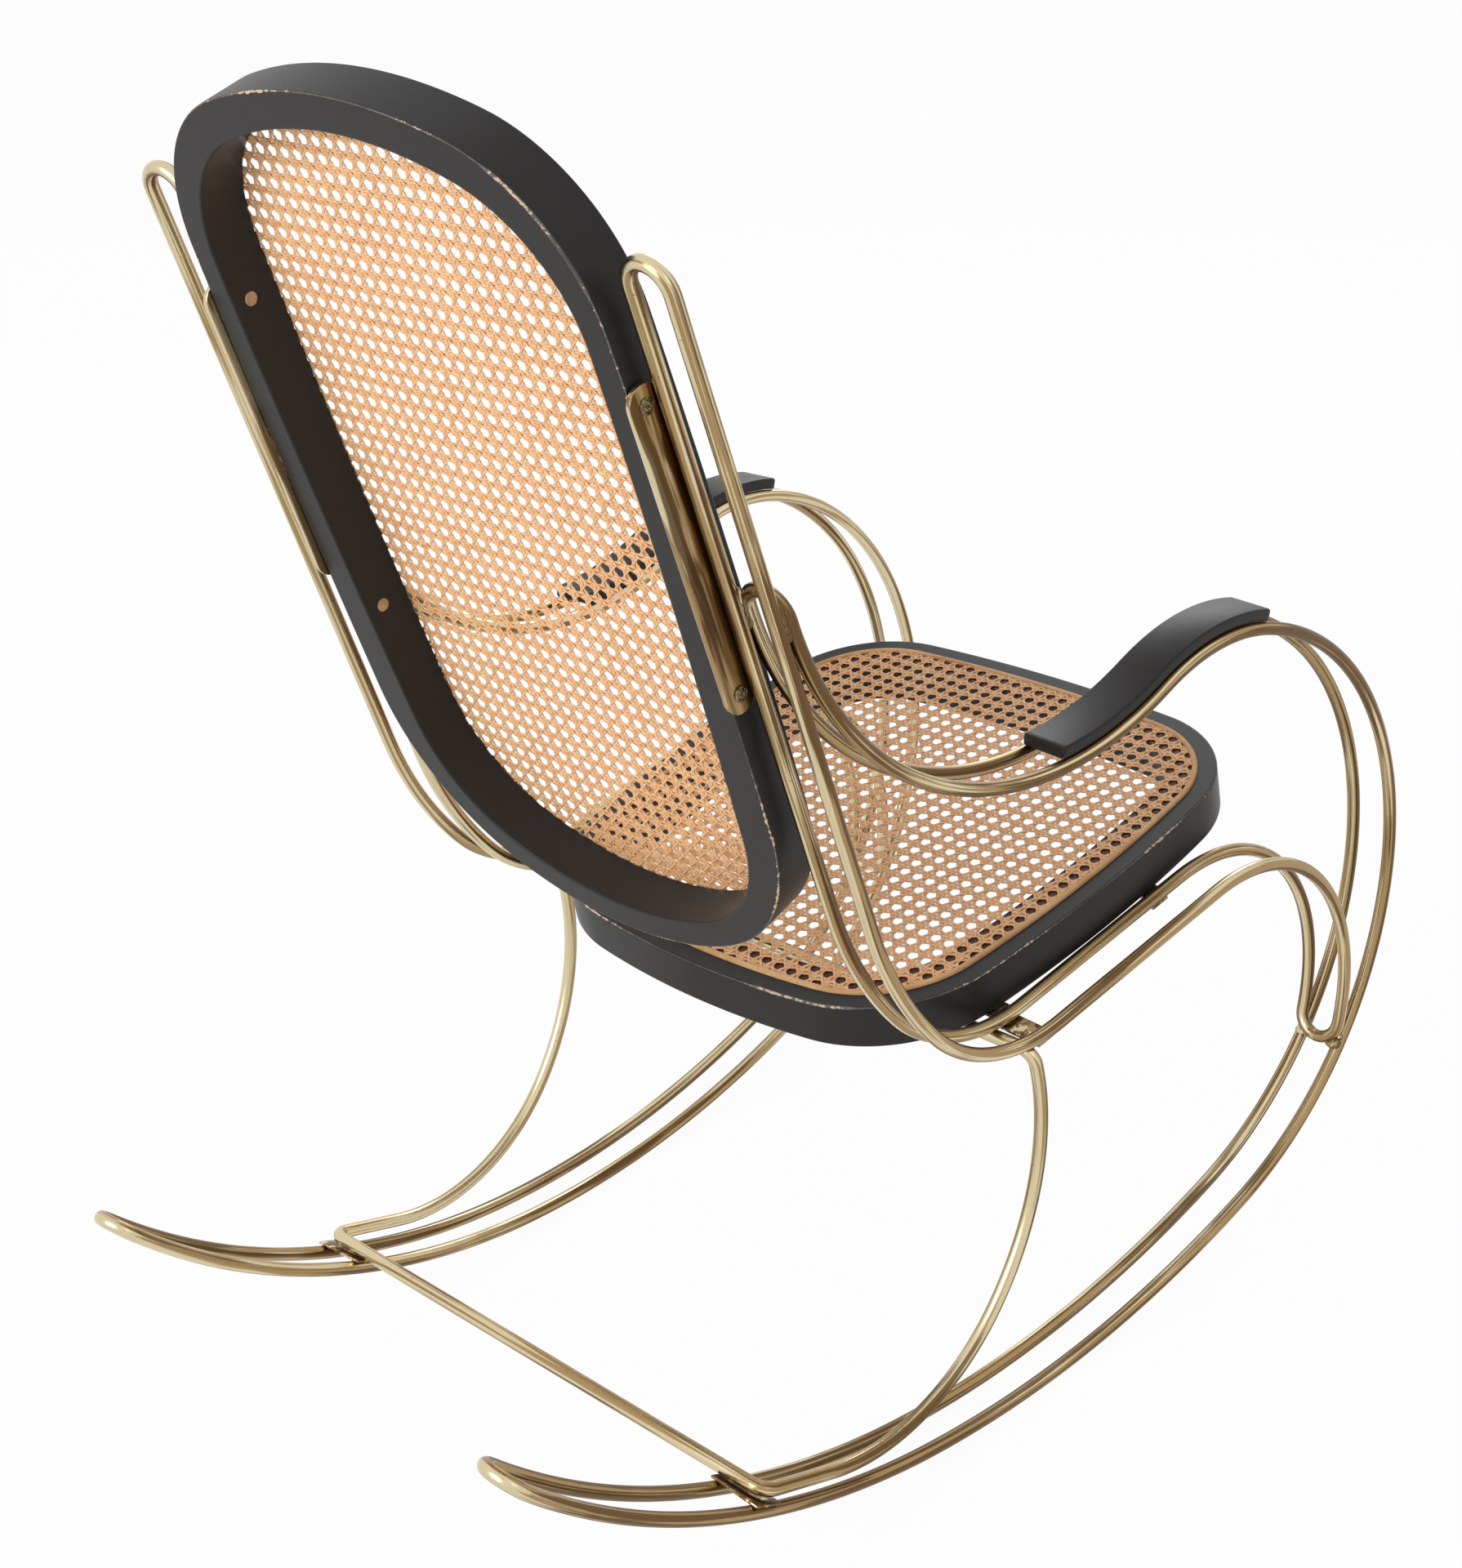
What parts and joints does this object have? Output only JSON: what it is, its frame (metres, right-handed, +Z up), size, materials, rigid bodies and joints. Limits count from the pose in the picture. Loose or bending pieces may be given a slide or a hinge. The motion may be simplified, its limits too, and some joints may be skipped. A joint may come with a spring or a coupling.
{
  "type": "rocking chair",
  "caption": "rocking chair with looped brass rod sides and runners, woven cane back and seat in black wood rings, and black wood armrests",
  "frame": {"origin": "on the floor, at the middle of the bottom of the bounding box", "axes": "+Z up, +Y towards the rear of the chair, +X to the sitter's left; the chair faces -Y"},
  "size_m": [0.5568, 0.944, 1.0221],
  "materials": {
    "black_wood": "satin black paint over hardwood, worn through at the edges",
    "cane": "woven cane strands, lightly varnished",
    "reed": "bare reed spline",
    "plug_wood": "bare wood plugs",
    "screw_metal": "dull, tarnished",
    "aged_brass": "polished round rod with brown tarnish streaks"
  },
  "bodies": {
    "root": {"back_frame": "black_wood", "back_cane": "cane", "back_spline": "reed", "seat_frame": "black_wood", "seat_cane": "cane", "seat_spline": "reed", "armrest_left": "black_wood", "armrest_right": "black_wood", "runner_loop_left": "aged_brass", "runner_loop_right": "aged_brass", "upright_loop_left": "aged_brass", "upright_loop_right": "aged_brass", "leg_loop": "aged_brass", "back_bracket_left": "aged_brass", "back_bracket_right": "aged_brass", "back_screws_left": "screw_metal", "back_screws_right": "screw_metal", "back_plugs_left": "plug_wood", "back_plugs_right": "plug_wood", "seat_bracket_rear_left": "aged_brass", "seat_bracket_rear_right": "aged_brass", "seat_bracket_front_left": "aged_brass", "seat_bracket_front_right": "aged_brass", "seat_screws": "screw_metal", "runner_plate_left": "aged_brass", "runner_plate_right": "aged_brass", "runner_rivets": "screw_metal"}
  },
  "joints": []
}
